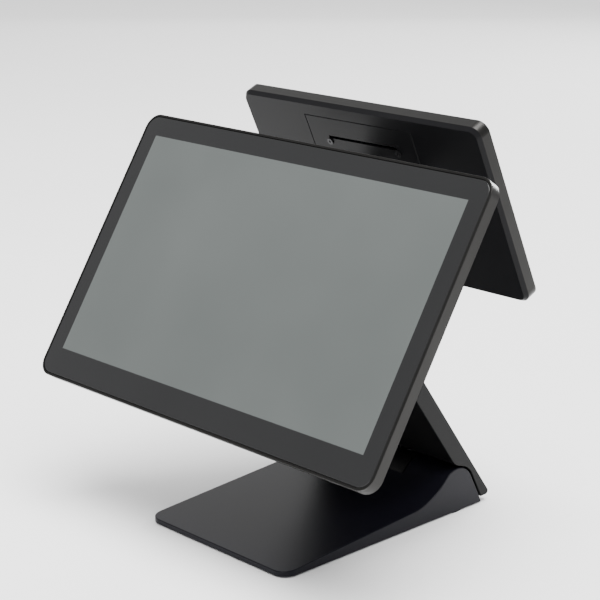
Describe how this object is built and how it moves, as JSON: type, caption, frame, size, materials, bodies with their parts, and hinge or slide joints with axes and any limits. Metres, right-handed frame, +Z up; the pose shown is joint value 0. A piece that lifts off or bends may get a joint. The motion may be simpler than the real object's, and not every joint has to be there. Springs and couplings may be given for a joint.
{
  "type": "point-of-sale touchscreen terminal",
  "caption": "Point-of-sale touch terminal: wedge base, folding arm, tilting main touch display with rear computer housing, and a smaller customer display facing away.",
  "frame": {"origin": "on the counter under the middle of the terminal's overall footprint", "axes": "+X to the operator's right, +Y away from the operator, +Z up"},
  "size_m": [0.379, 0.2588, 0.3341],
  "materials": {
    "base_paint": "satin powder coat, dark grey",
    "arm_paint": "satin powder coat, dark grey",
    "frame_aluminium": "bead-blasted and anodised dark grey",
    "screen_glass": "smooth glass, printed black behind",
    "gloss_cover": "high gloss black",
    "cover_plastic": "fine moulded texture, black",
    "bracket_metal": "satin powder coat, black",
    "button_metal": "anodised, satin",
    "rubber": "moulded rubber",
    "foam": "closed-cell foam tape",
    "zinc_steel": "zinc-plated sheet",
    "hinge_steel": "turned steel",
    "bush_brass": "turned brass",
    "screw_black": "black zinc plating",
    "spacer_plastic": "moulded",
    "lcd_cell": "laminated display cell",
    "circuit_board": "green solder mask",
    "heatsink_aluminium": "extruded",
    "speaker_black": "moulded",
    "socket_shell": "plated sheet",
    "socket_plastic": "moulded"
  },
  "bodies": {
    "base": {"base_cover": "base_paint", "base_plate": "zinc_steel", "rubber_feet": "rubber", "base_screws": "screw_black", "base_weight": "zinc_steel", "base_hinge_ears": "zinc_steel", "base_ear_screws": "screw_black", "base_hinge_shaft": "hinge_steel", "base_hinge_springs": "hinge_steel"},
    "arm": {"arm_shell": "arm_paint", "arm_rear_cover": "arm_paint", "arm_cover_screws": "screw_black", "arm_frame": "zinc_steel", "arm_spacers": "spacer_plastic", "arm_frame_screws": "screw_black", "arm_lower_knuckle": "zinc_steel", "arm_lower_bushes": "bush_brass", "arm_hinge_hood": "arm_paint", "arm_upper_lugs": "zinc_steel", "head_hinge_shaft": "hinge_steel", "head_hinge_springs": "hinge_steel"},
    "main_display": {"main_frame": "frame_aluminium", "touch_glass": "screen_glass", "glass_gasket": "foam", "lcd_panel": "lcd_cell", "lcd_chassis": "zinc_steel", "board_standoffs": "zinc_steel", "main_rear_cover": "cover_plastic", "speakers": "speaker_black", "computer_housing": "cover_plastic", "io_door": "cover_plastic", "mainboard": "circuit_board", "board_screws": "screw_black", "heatsink": "heatsink_aluminium", "memory_module": "circuit_board", "ssd_drive": "circuit_board", "usb_ports": "socket_shell", "lan_ports": "socket_shell", "serial_ports": "socket_shell", "dc_inlet": "socket_plastic", "head_bracket": "bracket_metal", "head_hinge_bushes": "bush_brass", "head_bracket_screws": "screw_black", "power_switch": "speaker_black", "customer_arm": "bracket_metal", "customer_arm_screws": "screw_black", "customer_hinge_shaft": "hinge_steel", "customer_hinge_springs": "hinge_steel"},
    "power_button": {"power_button": "button_metal"},
    "customer_display": {"customer_frame": "frame_aluminium", "customer_glass": "screen_glass", "customer_gasket": "foam", "customer_lcd": "lcd_cell", "customer_chassis": "zinc_steel", "customer_board": "circuit_board", "customer_rear_cover": "gloss_cover", "customer_panel": "gloss_cover", "customer_screws": "screw_black", "customer_bracket": "bracket_metal", "customer_hinge_bushes": "bush_brass"}
  },
  "joints": [
    {"name": "arm_fold", "type": "hinge", "parent": "base", "child": "arm", "pos_m": [0, 0.08975, 0.019], "axis": [1, 0, 0], "range_deg": [0, 15]},
    {"name": "head_tilt", "type": "hinge", "parent": "arm", "child": "main_display", "pos_m": [0, -0.0142, 0.19329], "axis": [1, 0, 0], "range_deg": [-30, 20]},
    {"name": "customer_tilt", "type": "hinge", "parent": "main_display", "child": "customer_display", "pos_m": [0, 0.05554, 0.25599], "axis": [1, 0, 0], "range_deg": [-15, 15]},
    {"name": "power_button_press", "type": "slide", "parent": "main_display", "child": "power_button", "axis": [0, 0.5358, 0.8443], "range_m": [0, 0.0008], "stiffness_N_per_m": 600}
  ]
}
